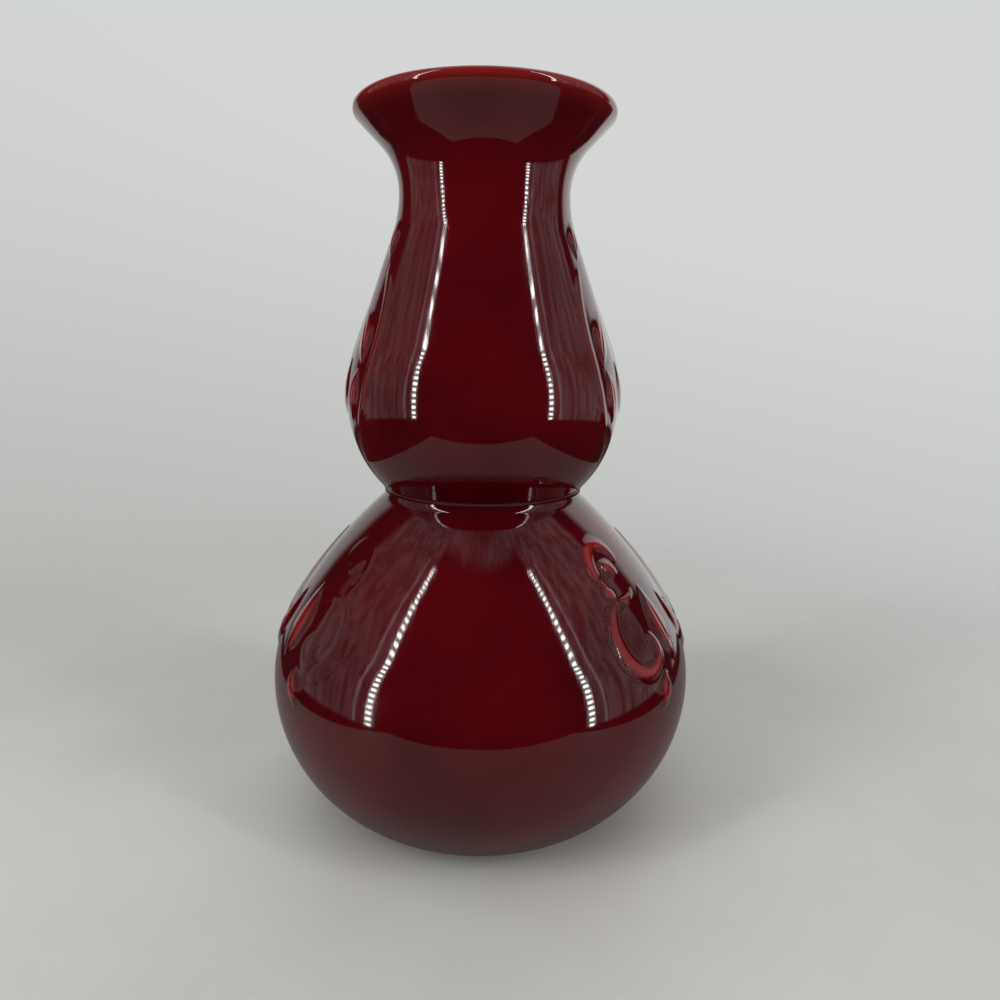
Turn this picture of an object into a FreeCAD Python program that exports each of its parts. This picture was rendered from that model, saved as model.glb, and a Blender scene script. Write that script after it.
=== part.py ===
import FreeCAD, Part
import math
import os

import Sketcher

# A double-gourd flower vase, 210 mm tall, stands on its foot with +Z up.
# The origin is the centre of the foot on the table, and the plain front faces -Y.
# The clay is luted from turned sections: foot ring, floor, lower bulb, slip seam at the
# waist, upper bulb, flared neck and lip. Moulded sprigs stand on the left and right sides.

# Lengths are in millimetres, turns in degrees, and shares have no unit.
# A rise is a height above the ring that is named before it.
SIZES = (
    ("wall", 4.2, "thickness of the clay wall, square to its surface"),
    ("foot_radius", 41.4, "outer radius of the foot on the table"),
    ("foot_width", 5.0, "width of the bare ring that touches the table"),
    ("foot_height", 3.0, "depth of the recess under the floor"),
    ("foot_edge", 0.6, "bevel of the two edges of the foot ring"),
    ("base_wall", 8.0, "level width of the undercut wall where it stands on the foot"),
    ("floor_thickness", 4.5, "thickness of the floor"),
    ("belly_radius", 65.6, "widest radius of the lower bulb"),
    ("belly_height", 41.6, "height of that widest ring above the table"),
    ("shoulder_rise", 57.8, "from the widest ring up to the waist"),
    ("shoulder_in_share", 0.173, "where the shoulder curve flattens, inwards"),
    ("shoulder_up_share", 0.388, "where the shoulder curve flattens, upwards"),
    ("waist_radius", 29.7, "outer radius of the crease at the waist"),
    ("waist_wall", 6.4, "level width of the wall at the waist"),
    ("seam_thickness", 0.8, "height of the slip that joins the bulbs"),
    ("bulb_radius", 41.2, "widest radius of the upper bulb"),
    ("bulb_rise", 26.5, "from the top of the seam up to that widest ring"),
    ("neck_rise", 59.7, "from the widest ring up to the throat"),
    ("neck_curve_share", 0.69, "share of the neck's curves that leaves the rest straight"),
    ("bulb_curve_share", 0.578, "share of those curves that rounds the bulb"),
    ("throat_radius", 25.1, "narrowest outer radius of the neck"),
    ("mouth_rise", 23.6, "from the throat up to the top of the lip"),
    ("mouth_radius", 37.7, "outer radius of the lip"),
    ("mouth_curve_share", 0.853, "share of the flare that is curved"),
    ("lower_relief", 1.4, "height of the sprigs on the lower bulb"),
    ("upper_relief", 1.1, "height of the sprigs on the upper bulb"),
    ("sprig_bed", 0.06, "slip between the wall and a sprig"),
    ("crest_share", 0.45, "width of a sprig's crest as a share of its foot"),
    ("section_step", 4.0, "longest way from one section of a sprig to the next"),
    ("section_turn_angle", 32.0, "largest turn from one section of a scroll to the next"),
    ("lower_spray_turn_angle", 43.0, "from the middle of a side to a lower spray"),
    ("lower_scroll_width", 3.6, "width of the scrolls on the lower bulb"),
    ("scroll_across", 1.8, "centre of the large scroll, across"),
    ("scroll_up_share", 0.422, "centre of the large scroll, up the shoulder"),
    ("scroll_radius", 9.2, "radius of the large scroll"),
    ("scroll_start_angle", 112.0, "direction of its upper end"),
    ("scroll_sweep_angle", 188.0, "turn of its back"),
    ("hook_radius", 3.8, "radius of its hooked end"),
    ("hook_sweep_angle", 141.0, "turn of its hooked end"),
    ("curl_across", 2.4, "centre of the small curl, across"),
    ("curl_up_share", 0.708, "centre of the small curl, up the shoulder"),
    ("curl_radius", 6.2, "radius of the small curl"),
    ("curl_start_angle", 22.0, "direction of its tip"),
    ("curl_sweep_angle", 196.0, "turn of the small curl"),
    ("bud_across", 2.9, "middle of the bud in the small curl, across"),
    ("bud_up_share", 0.709, "middle of the bud, up the shoulder"),
    ("bud_length", 6.0, "length of the bud"),
    ("bud_width", 3.2, "width of the bud"),
    ("bud_tilt_angle", 150.0, "slope of the bud"),
    ("frond_across", 15.0, "middle of the leaf beside the scroll, across"),
    ("frond_up_share", 0.415, "middle of that leaf, up the shoulder"),
    ("frond_length", 19.0, "length of that leaf"),
    ("frond_width", 6.6, "width of that leaf"),
    ("frond_tilt_angle", 104.0, "slope of that leaf"),
    ("lobe_across", 7.2, "middle of the hanging lobe, across"),
    ("lobe_up_share", 0.15, "middle of the hanging lobe, up the shoulder"),
    ("lobe_length", 9.5, "length of the hanging lobe"),
    ("lobe_width", 4.8, "width of the hanging lobe"),
    ("lobe_tilt_angle", 70.0, "slope of the hanging lobe"),
    ("lower_leaf_up_share", 0.467, "middle of the tall leaf on a side of the lower bulb"),
    ("lower_leaf_length", 36.0, "length of that tall leaf"),
    ("lower_leaf_width", 9.0, "width of that tall leaf"),
    ("lower_fan_across", 11.5, "middle of the leaves beside it, across"),
    ("lower_fan_up_share", 0.33, "middle of the leaves beside it, up the shoulder"),
    ("lower_fan_length", 22.0, "length of the leaves beside it"),
    ("lower_fan_width", 6.8, "width of the leaves beside it"),
    ("lower_fan_tilt_angle", 64.0, "slope of the leaves beside it"),
    ("upper_spray_turn_angle", 33.0, "from the middle of a side to an upper spray"),
    ("upper_scroll_width", 2.8, "width of the long stem on the upper bulb"),
    ("stem_across", 37.0, "centre of the stem's wide curve, across"),
    ("stem_up_share", 0.273, "centre of that curve, up the neck"),
    ("stem_radius", 42.0, "radius of that curve"),
    ("stem_start_angle", 149.0, "direction of the stem's upper end"),
    ("stem_sweep_angle", 62.0, "turn of the stem"),
    ("shoot_across", 3.6, "middle of the upper leaf beside the stem, across"),
    ("shoot_up_share", 0.327, "middle of that upper leaf, up the neck"),
    ("shoot_length", 14.5, "length of that upper leaf"),
    ("shoot_width", 5.4, "width of that upper leaf"),
    ("shoot_tilt_angle", 66.0, "slope of that upper leaf"),
    ("sepal_across", 4.6, "middle of the lower leaf beside the stem, across"),
    ("sepal_up_share", 0.05, "middle of that lower leaf, up the neck"),
    ("sepal_length", 13.0, "length of that lower leaf"),
    ("sepal_width", 5.4, "width of that lower leaf"),
    ("sepal_tilt_angle", 106.0, "slope of that lower leaf"),
    ("tip_across", 3.4, "middle of the bud above the stem, across"),
    ("tip_up_share", 0.77, "middle of that bud, up the neck"),
    ("tip_length", 9.0, "length of that bud"),
    ("tip_width", 4.0, "width of that bud"),
    ("tip_tilt_angle", 78.0, "slope of that bud"),
    ("upper_leaf_up_share", 0.235, "middle of the tall leaf on a side of the upper bulb"),
    ("upper_leaf_length", 34.0, "length of that tall leaf"),
    ("upper_leaf_width", 7.2, "width of that tall leaf"),
    ("upper_fan_across", 7.8, "middle of the leaves beside it, across"),
    ("upper_fan_up_share", 0.067, "middle of the leaves beside it, up the neck"),
    ("upper_fan_length", 17.0, "length of the leaves beside it"),
    ("upper_fan_width", 4.8, "width of the leaves beside it"),
    ("upper_fan_tilt_angle", 68.0, "slope of the leaves beside it"),
)

FULL_TURN = 360.0
HALF_TURN = 180.0
UPWARD = FreeCAD.Vector(0, 0, 1)


class Size:
    """A number together with the sheet formula that gives it."""

    def __init__(self, value, text):
        self.value = value
        self.text = text

    def __add__(self, other):
        other = as_size(other)
        return Size(self.value + other.value, f"({self.text} + {other.text})")

    def __sub__(self, other):
        other = as_size(other)
        return Size(self.value - other.value, f"({self.text} - {other.text})")

    def __mul__(self, other):
        other = as_size(other)
        return Size(self.value * other.value, f"({self.text} * {other.text})")

    def __truediv__(self, other):
        other = as_size(other)
        return Size(self.value / other.value, f"({self.text} / {other.text})")

    def __rsub__(self, other):
        return as_size(other) - self

    def __rmul__(self, other):
        return as_size(other) * self

    def squared(self):
        return Size(self.value**2, f"({self.text}^2)")

    def root(self):
        return Size(math.sqrt(self.value), f"sqrt({self.text})")


def as_size(number):
    """A size as it is, or a whole factor as a size."""
    if isinstance(number, Size):
        return number
    return Size(number, f"({number})")


ZERO = as_size(0)


class Book:
    """One sheet of the document. Its cells are read back as sizes under their own names."""

    def __init__(self, doc, name):
        self.sheet = doc.addObject("Spreadsheet::Sheet", name)
        self.name = name
        self.rows = 0

    def write(self, alias, content, value, meaning):
        self.rows += 1
        self.sheet.set(f"A{self.rows}", alias)
        self.sheet.set(f"B{self.rows}", content)
        self.sheet.setAlias(f"B{self.rows}", alias)
        self.sheet.set(f"C{self.rows}", meaning)
        setattr(self, alias, Size(value, f"{self.name}.{alias}"))

    def keep(self, alias, size, meaning):
        """Write a worked-out size into the sheet and return it under its short name."""
        self.write(alias, f"={size.text}", size.value, meaning)
        return getattr(self, alias)


class Spot:
    """A point of an outline: its distance across, which is its radius, and its height."""

    def __init__(self, across, up):
        self.across = across
        self.up = up

    def moved(self, normal, step):
        """The point that lies a step further along a direction."""
        return Spot(self.across + normal.across * step, self.up + normal.up * step)


def arc_radius(inset, rise):
    """Radius of the arc that leaves a widest ring upright and ends inset and risen from it."""
    return (inset.squared() + rise.squared()) / (2 * inset)


def plane_of(body, role):
    return next(item for item in body.Origin.OriginFeatures if item.Role == role)


class Outline:
    """A closed outline, drawn point by point. Every point and radius is bound to the sheets."""

    def __init__(self, start):
        self.spots = [start]
        self.edges = []

    def line(self, spot):
        self.spots.append(spot)
        self.edges.append((None, True))
        return self

    def arc(self, spot, radius, left):
        """An arc of less than a half turn. With left, its centre lies left of the way that is drawn."""
        self.spots.append(spot)
        self.edges.append((radius, left))
        return self

    def close(self):
        """A straight edge back to the first point."""
        self.edges.append((None, True))
        return self

    def join(self, radius, left):
        """An arc back to the first point."""
        self.edges.append((radius, left))
        return self

    def draw(self, sketch):
        first = sketch.GeometryCount
        count = len(self.edges)
        ends = []
        for index, (radius, left) in enumerate(self.edges):
            here = self.spots[index]
            there = self.spots[(index + 1) % count]
            a = FreeCAD.Vector(here.across.value, here.up.value, 0)
            b = FreeCAD.Vector(there.across.value, there.up.value, 0)
            if radius is None:
                sketch.addGeometry(Part.LineSegment(a, b), False)
                ends.append((1, 2))
                continue
            chord = b - a
            aside = FreeCAD.Vector(-chord.y, chord.x, 0)
            aside.normalize()
            depth = math.sqrt(radius.value**2 - (chord.Length / 2) ** 2)
            centre = (a + b) / 2 + aside * (depth if left else -depth)
            low, high = (a, b) if left else (b, a)
            from_angle = math.atan2(low.y - centre.y, low.x - centre.x)
            to_angle = math.atan2(high.y - centre.y, high.x - centre.x)
            circle = Part.Circle(centre, UPWARD, radius.value)
            sketch.addGeometry(Part.ArcOfCircle(circle, from_angle, to_angle), False)
            ends.append((1, 2) if left else (2, 1))
        for index, (radius, _) in enumerate(self.edges):
            spot = self.spots[index]
            item = first + index
            after = first + (index + 1) % count
            sketch.addConstraint(
                Sketcher.Constraint("Coincident", item, ends[index][1], after, ends[(index + 1) % count][0])
            )
            if spot.across.value == 0:
                sketch.addConstraint(Sketcher.Constraint("PointOnObject", item, ends[index][0], -2))
            else:
                bind(sketch, "DistanceX", (-1, 1, item, ends[index][0]), spot.across)
            bind(sketch, "DistanceY", (-1, 1, item, ends[index][0]), spot.up)
            if radius is not None:
                bind(sketch, "Radius", (item,), radius)


def bind(sketch, kind, places, size):
    number = sketch.addConstraint(Sketcher.Constraint(kind, *places, size.value))
    sketch.setExpression(f"Constraints[{number}]", size.text)


def sketch_on(body, role, name, outlines):
    sketch = body.newObject("Sketcher::SketchObject", name)
    sketch.AttachmentSupport = [(plane_of(body, role), "")]
    sketch.MapMode = "FlatFace"
    for outline in outlines:
        outline.draw(sketch)
    return sketch


def turned(doc, label, outline):
    """A piece of clay that is turned about the axis from its cross-section."""
    body = doc.addObject("PartDesign::Body", label)
    body.Label = label
    sketch = sketch_on(body, "XZ_Plane", f"{label}_section", [outline])
    turn = body.newObject("PartDesign::Revolution", f"{label}_turn")
    turn.Profile = sketch
    turn.ReferenceAxis = (sketch, ["V_Axis"])
    turn.Angle = FULL_TURN
    body.Tip = turn
    body.Placement = FreeCAD.Placement()
    return body


def work_out_curves(doc, sizes):
    """The points and radii of the vase's outline, each from the driving sizes."""
    curves = Book(doc, "curves")
    keep = curves.keep

    # Lower bulb, from the foot up to the waist
    under_inset = sizes.belly_radius - sizes.foot_radius
    keep("under_radius", arc_radius(under_inset, sizes.belly_height), "curve from the foot to the belly")
    below = sizes.belly_height - sizes.foot_height
    across = (curves.under_radius.squared() - below.squared()).root()
    keep("foot_top", sizes.belly_radius - curves.under_radius + across, "outer radius above the foot ring")
    keep("base_inside", curves.foot_top - sizes.base_wall, "inner radius on top of the foot ring")
    inner_belly = sizes.belly_radius - sizes.wall
    inset = inner_belly - curves.base_inside
    keep("inside_under", arc_radius(inset, below), "inner curve below the belly")
    keep("floor_top", sizes.foot_height + sizes.floor_thickness, "height of the floor's upper face")
    below = sizes.belly_height - curves.floor_top
    across = (curves.inside_under.squared() - below.squared()).root()
    keep("floor_rim", inner_belly - curves.inside_under + across, "radius of the floor's upper face")

    inset = (sizes.belly_radius - sizes.waist_radius) * sizes.shoulder_in_share
    rise = sizes.shoulder_rise * sizes.shoulder_up_share
    keep("shoulder_radius", arc_radius(inset, rise), "curve above the belly")
    keep("shoulder_lean_across", 1 - inset / curves.shoulder_radius, "across, out of the shoulder")
    keep("shoulder_lean_up", rise / curves.shoulder_radius, "upward, out of the shoulder")
    keep("shoulder_across", sizes.belly_radius - inset, "radius where the shoulder flattens")
    keep("shoulder_up", sizes.belly_height + rise, "height where the shoulder flattens")
    keep("waist_up", sizes.belly_height + sizes.shoulder_rise, "height of the waist")
    curves.lean = Spot(curves.shoulder_lean_across, curves.shoulder_lean_up)
    curves.belly = Spot(sizes.belly_radius, sizes.belly_height)
    curves.inner_belly = Spot(inner_belly, sizes.belly_height)
    curves.shoulder = Spot(curves.shoulder_across, curves.shoulder_up)
    curves.inner_shoulder = curves.shoulder.moved(curves.lean, ZERO - sizes.wall)
    curves.waist = Spot(sizes.waist_radius, curves.waist_up)
    curves.inner_waist = Spot(sizes.waist_radius - sizes.waist_wall, curves.waist_up)
    outer = flatter_arc(curves.shoulder, curves.waist, curves.lean)
    keep("slope_radius", outer, "flatter curve up to the waist")
    inner = flatter_arc(curves.inner_shoulder, curves.inner_waist, curves.lean)
    keep("inside_slope", inner, "inner flatter curve up to the waist")

    # Upper bulb, from the seam up to where its round back ends
    keep("seam_top", curves.waist_up + sizes.seam_thickness, "height of the seam's upper face")
    keep("bulb_up", curves.seam_top + sizes.bulb_rise, "height of the upper bulb's widest ring")
    keep("throat_up", curves.bulb_up + sizes.neck_rise, "height of the throat")
    inset = sizes.bulb_radius - sizes.waist_radius
    keep("cup_radius", arc_radius(inset, sizes.bulb_rise), "curve from the seam to that widest ring")
    inner_bulb = sizes.bulb_radius - sizes.wall
    inset = inner_bulb - curves.inner_waist.across
    keep("inside_cup", arc_radius(inset, sizes.bulb_rise), "inner curve there")
    narrowing = sizes.bulb_radius - sizes.throat_radius
    both = arc_radius(narrowing, sizes.neck_rise) * sizes.neck_curve_share
    keep("neck_curves", both, "sum of the neck's two radii")
    keep("dome_radius", curves.neck_curves * sizes.bulb_curve_share, "curve that rounds the upper bulb")
    keep("neck_radius", curves.neck_curves - curves.dome_radius, "hollow curve below the throat")
    apart = curves.neck_curves - narrowing
    straight = (apart.squared() + sizes.neck_rise.squared() - curves.neck_curves.squared()).root()
    keep("neck_straight", straight, "length of the straight side of the neck")
    square = apart.squared() + sizes.neck_rise.squared()
    level = curves.neck_curves * apart + curves.neck_straight * sizes.neck_rise
    upward = curves.neck_curves * sizes.neck_rise - curves.neck_straight * apart
    keep("side_lean_across", level / square, "across part of the direction out of that side")
    keep("side_lean_up", upward / square, "upward part of that direction")
    curves.side = Spot(curves.side_lean_across, curves.side_lean_up)
    curves.cup = Spot(sizes.waist_radius, curves.seam_top)
    curves.inner_cup = Spot(curves.inner_waist.across, curves.seam_top)
    curves.bulb = Spot(sizes.bulb_radius, curves.bulb_up)
    curves.inner_bulb = Spot(inner_bulb, curves.bulb_up)
    dome = Spot(sizes.bulb_radius - curves.dome_radius, curves.bulb_up)
    curves.dome = dome.moved(curves.side, curves.dome_radius)
    curves.inner_dome = curves.dome.moved(curves.side, ZERO - sizes.wall)
    hollow = Spot(sizes.throat_radius + curves.neck_radius, curves.throat_up)
    curves.neck = hollow.moved(curves.side, ZERO - curves.neck_radius)
    curves.inner_neck = curves.neck.moved(curves.side, ZERO - sizes.wall)
    curves.throat = Spot(sizes.throat_radius, curves.throat_up)
    curves.inner_throat = Spot(sizes.throat_radius - sizes.wall, curves.throat_up)

    # Flared mouth: its middle line is an arc and a straight run that ends in the lip
    half_wall = sizes.wall / 2
    keep("lip_radius", half_wall, "radius of the rounded lip")
    lip = Spot(sizes.mouth_radius - half_wall, curves.throat_up + sizes.mouth_rise - half_wall)
    middle = sizes.throat_radius - half_wall
    flare = lip.across - middle
    climb = sizes.mouth_rise - half_wall
    middle_radius = arc_radius(flare, climb) * sizes.mouth_curve_share
    keep("flare_middle", middle_radius, "radius of the flare's middle line")
    back = flare - curves.flare_middle
    square = back.squared() + climb.squared()
    keep("flare_straight", (square - curves.flare_middle.squared()).root(), "straight run below the lip")
    level = curves.flare_straight * climb - curves.flare_middle * back
    upward = curves.flare_middle * climb + curves.flare_straight * back
    keep("flare_lean_across", level / square, "across part of the direction into the flare")
    keep("flare_lean_up", upward / square, "upward part of that direction")
    curves.flare = Spot(curves.flare_lean_across, ZERO - curves.flare_lean_up)
    keep("flare_radius", curves.flare_middle - half_wall, "hollow curve above the throat")
    hub = Spot(sizes.throat_radius + curves.flare_radius, curves.throat_up)
    curves.flare_end = hub.moved(curves.flare, ZERO - curves.flare_radius)
    curves.inner_flare_end = curves.flare_end.moved(curves.flare, ZERO - sizes.wall)
    curves.lip_outer = lip.moved(curves.flare, half_wall)
    curves.lip_inner = lip.moved(curves.flare, ZERO - half_wall)
    onward = Spot(curves.flare_lean_up, curves.flare_lean_across)
    curves.lip_crest = lip.moved(onward, half_wall)
    return curves


def flatter_arc(start, end, normal):
    """Radius of the arc that leaves a point square to its normal and ends at another point."""
    across = end.across - start.across
    up = end.up - start.up
    reach = across.squared() + up.squared()
    return reach / (2 * (0 - (normal.across * across + normal.up * up)))


def foot_ring(doc, sizes, curves):
    """The bare ring that the vase stands on. Its outer side carries on the curve of the lower bulb."""
    inside = sizes.foot_radius - sizes.foot_width
    outline = Outline(Spot(inside, ZERO))
    outline.line(Spot(sizes.foot_radius, ZERO))
    outline.arc(Spot(curves.foot_top, sizes.foot_height), curves.under_radius, True)
    outline.line(Spot(inside, sizes.foot_height)).close()
    body = turned(doc, "foot_ring", outline)
    doc.recompute()
    turn = body.Tip
    edges = []
    for number, edge in enumerate(turn.Shape.Edges, start=1):
        round_edge = isinstance(edge.Curve, Part.Circle)
        if round_edge and abs(edge.Curve.Center.z) < Part.Precision.confusion():
            edges.append(f"Edge{number}")
    bevel = body.newObject("PartDesign::Chamfer", "foot_ring_edges")
    bevel.Base = (turn, edges)
    bevel.Size = sizes.foot_edge.value
    bevel.setExpression("Size", sizes.foot_edge.text)
    body.Tip = bevel
    return body


def vase_floor(doc, sizes, curves):
    """The floor that closes the lower bulb and rests on the foot ring."""
    outline = Outline(Spot(ZERO, sizes.foot_height))
    outline.line(Spot(curves.base_inside, sizes.foot_height))
    outline.arc(Spot(curves.floor_rim, curves.floor_top), curves.inside_under, True)
    outline.line(Spot(ZERO, curves.floor_top)).close()
    return turned(doc, "vase_floor", outline)


def lower_bulb(doc, sizes, curves):
    """The belly of the gourd, a wall from the foot ring up to the waist."""
    outline = Outline(Spot(curves.base_inside, sizes.foot_height))
    outline.line(Spot(curves.foot_top, sizes.foot_height))
    outline.arc(curves.belly, curves.under_radius, True)
    outline.arc(curves.shoulder, curves.shoulder_radius, True)
    outline.arc(curves.waist, curves.slope_radius, True)
    outline.line(curves.inner_waist)
    outline.arc(curves.inner_shoulder, curves.inside_slope, False)
    outline.arc(curves.inner_belly, curves.shoulder_radius - sizes.wall, False)
    outline.join(curves.inside_under, False)
    return turned(doc, "lower_bulb", outline)


def waist_seam(doc, sizes, curves):
    """The layer of slip at the waist, on which the upper bulb was set."""
    outline = Outline(curves.inner_waist)
    outline.line(curves.waist).line(curves.cup).line(curves.inner_cup).close()
    return turned(doc, "waist_seam", outline)


def upper_bulb(doc, sizes, curves):
    """The small bulb of the gourd, from the seam up to the neck."""
    outline = Outline(curves.inner_cup)
    outline.line(curves.cup)
    outline.arc(curves.bulb, curves.cup_radius, True)
    outline.arc(curves.dome, curves.dome_radius, True)
    outline.line(curves.inner_dome)
    outline.arc(curves.inner_bulb, curves.dome_radius - sizes.wall, False)
    outline.join(curves.inside_cup, False)
    return turned(doc, "upper_bulb", outline)


def flared_neck(doc, sizes, curves):
    """The neck, which narrows to the throat and opens into the trumpet mouth."""
    outline = Outline(curves.inner_dome)
    outline.line(curves.dome).line(curves.neck)
    outline.arc(curves.throat, curves.neck_radius, False)
    outline.arc(curves.flare_end, curves.flare_radius, False)
    outline.line(curves.lip_outer).line(curves.lip_inner).line(curves.inner_flare_end)
    outline.arc(curves.inner_throat, curves.flare_radius + sizes.wall, True)
    outline.arc(curves.inner_neck, curves.neck_radius + sizes.wall, True)
    outline.close()
    return turned(doc, "flared_neck", outline)


def lip_roll(doc, sizes, curves):
    """The rounded lip that closes the edge of the mouth."""
    outline = Outline(curves.lip_inner)
    outline.line(curves.lip_outer)
    outline.arc(curves.lip_crest, curves.lip_radius, True)
    outline.join(curves.lip_radius, True)
    return turned(doc, "lip_roll", outline)


class Wall:
    """The outer surface of the vase, on which the sprigs are laid."""

    def __init__(self, sizes, curves):
        belly = sizes.belly_radius
        bulb = sizes.bulb_radius
        under = Spot(belly - curves.under_radius, sizes.belly_height)
        above = Spot(belly - curves.shoulder_radius, sizes.belly_height)
        slope = curves.shoulder.moved(curves.lean, ZERO - curves.slope_radius)
        hollow = Spot(sizes.throat_radius + curves.neck_radius, curves.throat_up)
        # Each run upwards: where it ends, the centre of its arc and its radius, less than 0 on a hollow arc
        self.runs = (
            (curves.belly, under, curves.under_radius),
            (curves.shoulder, above, curves.shoulder_radius),
            (curves.waist, slope, curves.slope_radius),
            (curves.cup, None, None),
            (curves.bulb, Spot(bulb - curves.cup_radius, curves.bulb_up), curves.cup_radius),
            (curves.dome, Spot(bulb - curves.dome_radius, curves.bulb_up), curves.dome_radius),
            (curves.neck, None, None),
            (curves.throat, hollow, ZERO - curves.neck_radius),
        )
        self.bed = sizes.sprig_bed.value

    def at(self, up):
        """Radius of the wall at a height, and the across and upward parts of the direction out of it."""
        number = next(number for number, run in enumerate(self.runs) if up <= run[0].up.value)
        end, centre, radius = self.runs[number]
        if centre is None:
            start = self.runs[number - 1][0]
            climb = FreeCAD.Vector(end.across.value - start.across.value, end.up.value - start.up.value, 0)
            share = (up - start.up.value) / climb.y
            length = climb.Length
            return start.across.value + climb.x * share, climb.y / length, -climb.x / length
        height = up - centre.up.value
        reach = math.copysign(math.sqrt(radius.value**2 - height**2), radius.value)
        return centre.across.value + reach, reach / radius.value, height / radius.value

    def place(self, across, up):
        """A point just off the wall, a way round from the sprig's middle, and the direction outward."""
        radius, level, rise = self.at(up)
        turn = across / radius
        outward = FreeCAD.Vector(level * math.cos(turn), level * math.sin(turn), rise)
        point = FreeCAD.Vector(radius * math.cos(turn), radius * math.sin(turn), up)
        return point + outward * self.bed, outward


def swelling(share):
    """How full a ridge is along its way: 0 at both tips and 1 in the middle."""
    return 4 * share * (1 - share)


class Spray:
    """The ridges of one sprig. Each has its place: a way across, and a share of the rise up the wall."""

    def __init__(self, sizes, wall, start, rise, relief, hand):
        self.sizes = sizes
        self.wall = wall
        self.start = start.value
        self.rise = rise.value
        self.relief = relief.value
        self.hand = hand
        self.step = sizes.section_step.value
        self.turn = math.radians(sizes.section_turn_angle.value)
        self.solids = []

    def named(self, name, kind):
        return getattr(self.sizes, f"{name}_{kind}").value

    def middle(self, name, across_share):
        across = self.named(name, "across") if across_share else 0
        return across, self.start + self.rise * self.named(name, "up_share")

    def leaf(self, name, upright=False):
        """A pointed leaf or bud, widest in its middle. An upright one stands in the middle of the sprig."""
        across, up = self.middle(name, not upright)
        tilt = math.pi / 2 if upright else math.radians(self.named(name, "tilt_angle"))
        length = self.named(name, "length")
        count = math.ceil(length / self.step)
        stations = []
        for number in range(count + 1):
            share = number / count
            along = length * (share - 1 / 2)
            swell = swelling(share)
            place = (across + along * math.cos(tilt), up + along * math.sin(tilt))
            stations.append((place, swell, math.sqrt(swell)))
        self.ridge(stations, self.named(name, "width"))

    def scroll(self, names, width):
        """A scroll whose back is a chain of tangent arcs that all turn the same way."""
        across, up = self.middle(names[0], True)
        angle = math.radians(self.named(names[0], "start_angle"))
        places = []
        former = None
        for name in names:
            radius = self.named(name, "radius")
            sweep = math.radians(self.named(name, "sweep_angle"))
            if former is not None:
                across += (former - radius) * math.cos(angle)
                up += (former - radius) * math.sin(angle)
                places.pop()
            count = math.ceil(max(sweep / self.turn, sweep * radius / self.step))
            for number in range(count + 1):
                turn = angle + sweep * number / count
                places.append((across + radius * math.cos(turn), up + radius * math.sin(turn)))
            angle += sweep
            former = radius
        stations = []
        for number, place in enumerate(places):
            swell = math.sqrt(swelling(number / (len(places) - 1)))
            stations.append((place, swell, swell))
        self.ridge(stations, width.value)

    def ridge(self, stations, width):
        """A ridge from tip to tip, in flat facets between bevelled sections that stand on the wall."""
        feet = [self.wall.place(self.hand * place[0], place[1]) for place, _, _ in stations]
        crest_share = self.sizes.crest_share.value
        rings = []
        for number in range(1, len(stations) - 1):
            _, spread, swell = stations[number]
            foot, outward = feet[number]
            aside = outward.cross(feet[number + 1][0] - feet[number - 1][0])
            aside.normalize()
            aside *= width * spread / 2
            crest = foot + outward * self.relief * swell
            top = aside * crest_share
            rings.append((foot - aside, foot + aside, crest + top, crest - top))
        corners = [(side, (side + 1) % len(rings[0])) for side in range(len(rings[0]))]
        facets = []
        for here, there in corners:
            facets.append((feet[0][0], rings[0][there], rings[0][here]))
            facets.append((feet[-1][0], rings[-1][here], rings[-1][there]))
            for near, far in zip(rings, rings[1:]):
                facets.append((near[here], near[there], far[there]))
                facets.append((near[here], far[there], far[here]))
        faces = [Part.Face(Part.makePolygon([*facet, facet[0]])) for facet in facets]
        self.solids.append(Part.Solid(Part.Shell(faces)))


def lower_spray(sizes, wall, hand):
    """A small curl round its bud, a large hooked scroll with a leaf beside it, and a lobe below."""
    spray = Spray(sizes, wall, sizes.belly_height, sizes.shoulder_rise, sizes.lower_relief, hand)
    spray.scroll(("curl",), sizes.lower_scroll_width)
    spray.scroll(("scroll", "hook"), sizes.lower_scroll_width)
    spray.leaf("bud")
    spray.leaf("frond")
    spray.leaf("lobe")
    return spray.solids


def upper_spray(sizes, curves, wall, hand):
    """A long bowed stem with two leaves beside it and a bud above."""
    spray = Spray(sizes, wall, curves.bulb_up, sizes.neck_rise, sizes.upper_relief, hand)
    spray.scroll(("stem",), sizes.upper_scroll_width)
    spray.leaf("shoot")
    spray.leaf("sepal")
    spray.leaf("tip")
    return spray.solids


def leaf_fan(sizes, wall, part, start, rise, relief):
    """A tall leaf on the middle of a side, between two shorter ones that lean away from it."""
    solids = []
    for hand in (1, -1):
        beside = Spray(sizes, wall, start, rise, relief, hand)
        beside.leaf(f"{part}_fan")
        solids += beside.solids
    tall = Spray(sizes, wall, start, rise, relief, 1)
    tall.leaf(f"{part}_leaf", upright=True)
    return solids + tall.solids


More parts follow.
